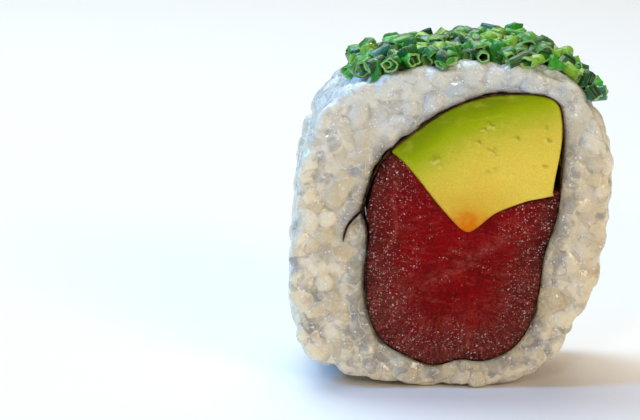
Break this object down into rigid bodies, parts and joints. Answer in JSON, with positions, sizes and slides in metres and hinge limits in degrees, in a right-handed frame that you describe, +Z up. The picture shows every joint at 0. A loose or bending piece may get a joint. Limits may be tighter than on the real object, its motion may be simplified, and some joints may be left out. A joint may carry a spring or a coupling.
{
  "type": "tuna uramaki",
  "caption": "Slice of inside-out sushi roll with rice on the outside, tuna and avocado wrapped in nori, and chopped chives on top, lying on its rim.",
  "frame": {"origin": "under the middle of the slice's bounding box, on the surface that it rests on", "axes": "+X across the slice to the right as seen from the front cut face, +Y along the roll from the front cut face to the back one, +Z up towards the chives"},
  "size_m": [0.0434, 0.0256, 0.0472],
  "materials": {
    "rice": "moist cooked rice, satin, with green chopped chives on top",
    "nori": "moist dried seaweed, satin",
    "tuna": "raw tuna, moist gloss",
    "avocado": "ripe avocado, satin"
  },
  "bodies": {
    "root": {"rice": "rice", "nori": "nori", "tuna": "tuna", "avocado": "avocado"}
  },
  "joints": []
}
